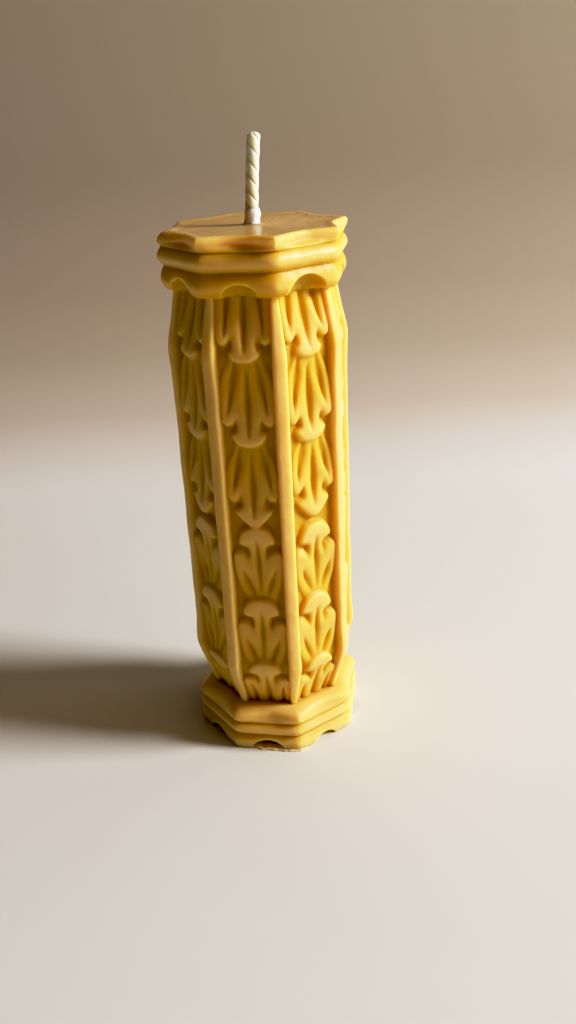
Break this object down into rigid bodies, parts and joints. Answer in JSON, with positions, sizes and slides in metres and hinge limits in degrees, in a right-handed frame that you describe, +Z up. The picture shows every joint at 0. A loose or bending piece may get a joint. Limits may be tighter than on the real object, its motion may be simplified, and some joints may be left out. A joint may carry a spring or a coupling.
{
  "type": "candle",
  "caption": "Moulded beeswax pillar candle shaped as an eight-sided column with ribs, chains of leaves, stepped foot and capital, and a twisted cotton wick.",
  "frame": {"origin": "centre of the candle's underside, on the surface it stands on", "axes": "+Z up along the wick; X and Y through the middles of four of the eight panels"},
  "size_m": [0.0398, 0.0398, 0.1455],
  "materials": {
    "beeswax": "satin, waxy, slightly translucent",
    "cotton_wick": "matt twisted cotton, lightly waxed"
  },
  "bodies": {
    "root": {"wax_body": "beeswax", "wick_strand_1": "cotton_wick", "wick_strand_2": "cotton_wick", "wick_strand_3": "cotton_wick"}
  },
  "joints": []
}
